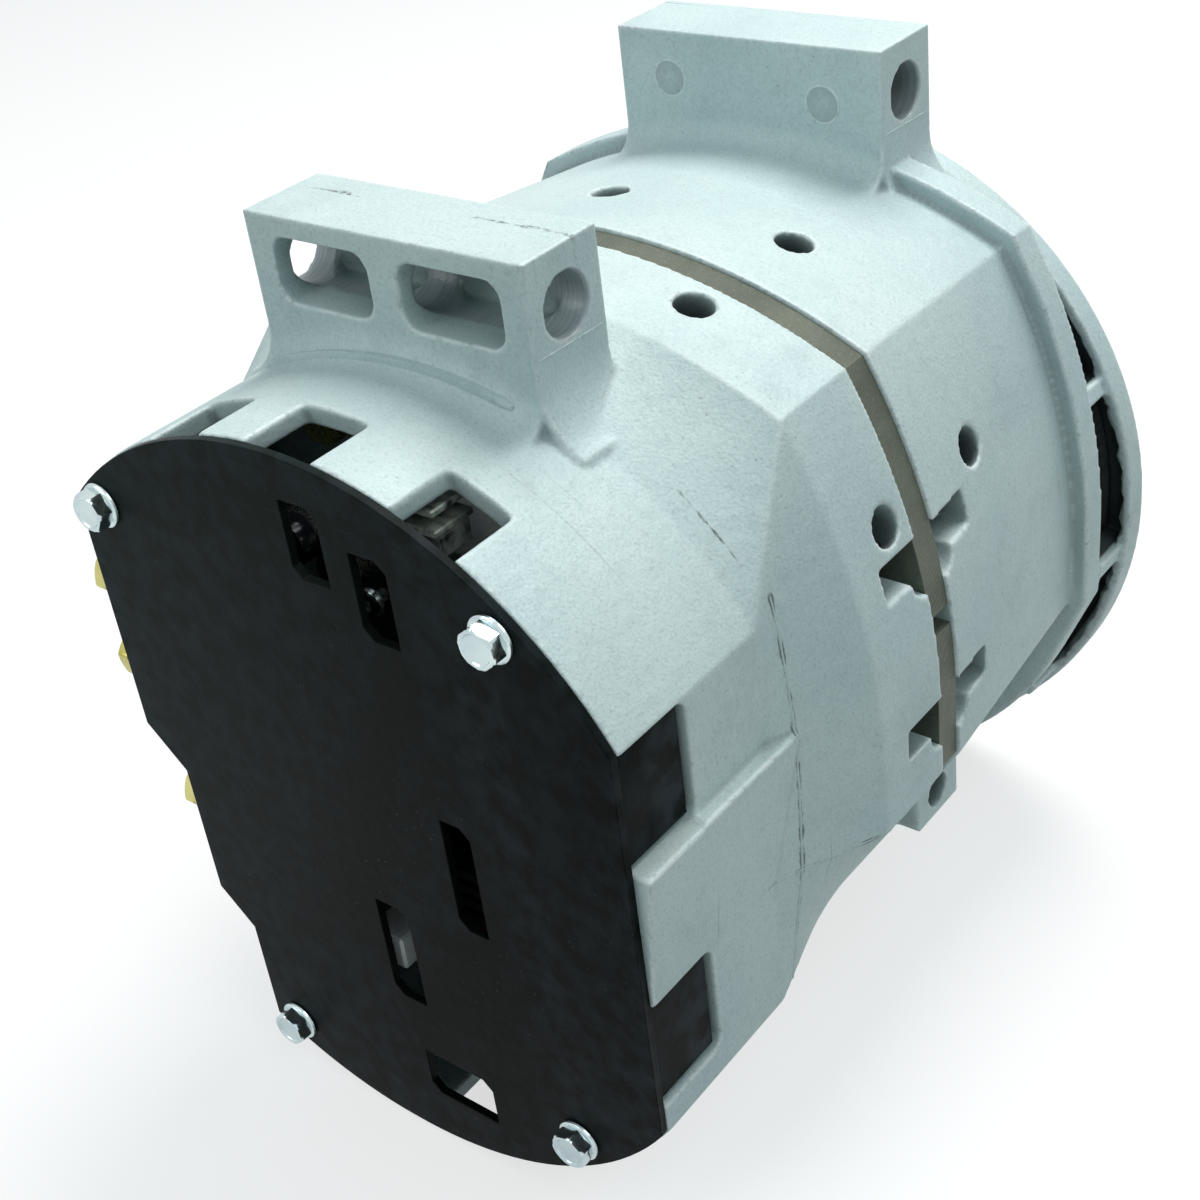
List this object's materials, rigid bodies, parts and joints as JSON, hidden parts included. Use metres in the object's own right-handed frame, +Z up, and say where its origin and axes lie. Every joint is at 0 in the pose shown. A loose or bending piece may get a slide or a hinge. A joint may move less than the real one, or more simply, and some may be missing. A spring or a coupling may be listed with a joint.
{
  "type": "alternator",
  "caption": "Heavy duty vehicle alternator: a round cast body with two transverse mounting beams, a slotted black rear cover and a bare keyed shaft for a belt pulley.",
  "frame": {"origin": "on the shaft axis, in the plane where a pulley seats against the front spacer", "axes": "-Y along the shaft and out of the drive end, +Y to the black rear cover, +Z up to the mounting beams, +X to the side with the terminals, which is the picture's left"},
  "size_m": [0.181, 0.2666, 0.207],
  "materials": {
    "housing_cast": "bead blasted cast aluminium",
    "cover_black": "satin black coated sheet",
    "zinc_bright": "bright zinc plated",
    "zinc_yellow": "yellow zinc plated",
    "laminations": "varnished electrical steel sheets",
    "winding_copper": "enamelled copper in varnish",
    "shaft_steel": "ground steel",
    "fan_black": "black painted sheet steel",
    "bearing_steel": "polished bearing steel",
    "cage_plastic": "moulded polyamide",
    "pole_iron": "forged iron under varnish",
    "bobbin_plastic": "moulded",
    "ring_copper": "turned copper",
    "moulded_black": "glass filled moulding",
    "moulded_brown": "phenolic moulding",
    "carbon": "pressed graphite",
    "block_aluminium": "die cast",
    "potting": "cast resin",
    "can_dark": "glossy sleeve",
    "sink_black": "black anodised",
    "diode_nickel": "nickel plated"
  },
  "bodies": {
    "housing": {"rear_housing": "housing_cast", "drive_end_housing": "housing_cast", "rear_cover": "cover_black", "cover_screws": "zinc_bright", "stator_core": "laminations", "stator_winding": "winding_copper", "through_bolts": "zinc_yellow", "front_bearing_outer_ring": "bearing_steel", "rear_bearing_outer_ring": "bearing_steel", "bearing_retainer": "shaft_steel", "retainer_screws": "zinc_yellow", "brush_holder": "moulded_black", "carbon_brushes": "carbon", "brush_springs": "diode_nickel", "voltage_regulator": "block_aluminium", "regulator_potting": "potting", "suppression_capacitor": "can_dark", "negative_heat_sink": "block_aluminium", "negative_diodes": "diode_nickel", "positive_heat_sink": "sink_black", "positive_diodes": "diode_nickel", "heat_sink_posts": "moulded_brown", "terminal_insulators": "moulded_brown", "terminal_studs": "zinc_yellow", "terminal_washers": "zinc_yellow", "terminal_nuts": "zinc_yellow"},
    "rotor": {"rotor_shaft": "shaft_steel", "front_spacer": "shaft_steel", "cooling_fan": "fan_black", "front_bearing_inner_ring": "bearing_steel", "rear_bearing_inner_ring": "bearing_steel", "front_claw_pole": "pole_iron", "rear_claw_pole": "pole_iron", "rotor_core": "pole_iron", "coil_bobbin": "bobbin_plastic", "field_coil": "winding_copper", "slip_ring_sleeve": "moulded_brown", "slip_rings": "ring_copper"},
    "front_bearing_train": {"front_bearing_balls": "bearing_steel", "front_bearing_cage": "cage_plastic"},
    "rear_bearing_train": {"rear_bearing_balls": "bearing_steel", "rear_bearing_cage": "cage_plastic"}
  },
  "joints": [
    {"name": "rotor_spin", "type": "hinge", "parent": "housing", "child": "rotor", "pos_m": [0, 0.106, 0], "axis": [0, 1, 0], "continuous": true},
    {"name": "front_cage_spin", "type": "hinge", "parent": "housing", "child": "front_bearing_train", "pos_m": [0, 0.0355, 0], "axis": [0, 1, 0], "continuous": true},
    {"name": "rear_cage_spin", "type": "hinge", "parent": "housing", "child": "rear_bearing_train", "pos_m": [0, 0.157, 0], "axis": [0, 1, 0], "continuous": true}
  ],
  "couplings": [
    {"joint": "front_cage_spin", "follows": "rotor_spin", "ratio": 0.3805},
    {"joint": "rear_cage_spin", "follows": "rotor_spin", "ratio": 0.3842}
  ]
}
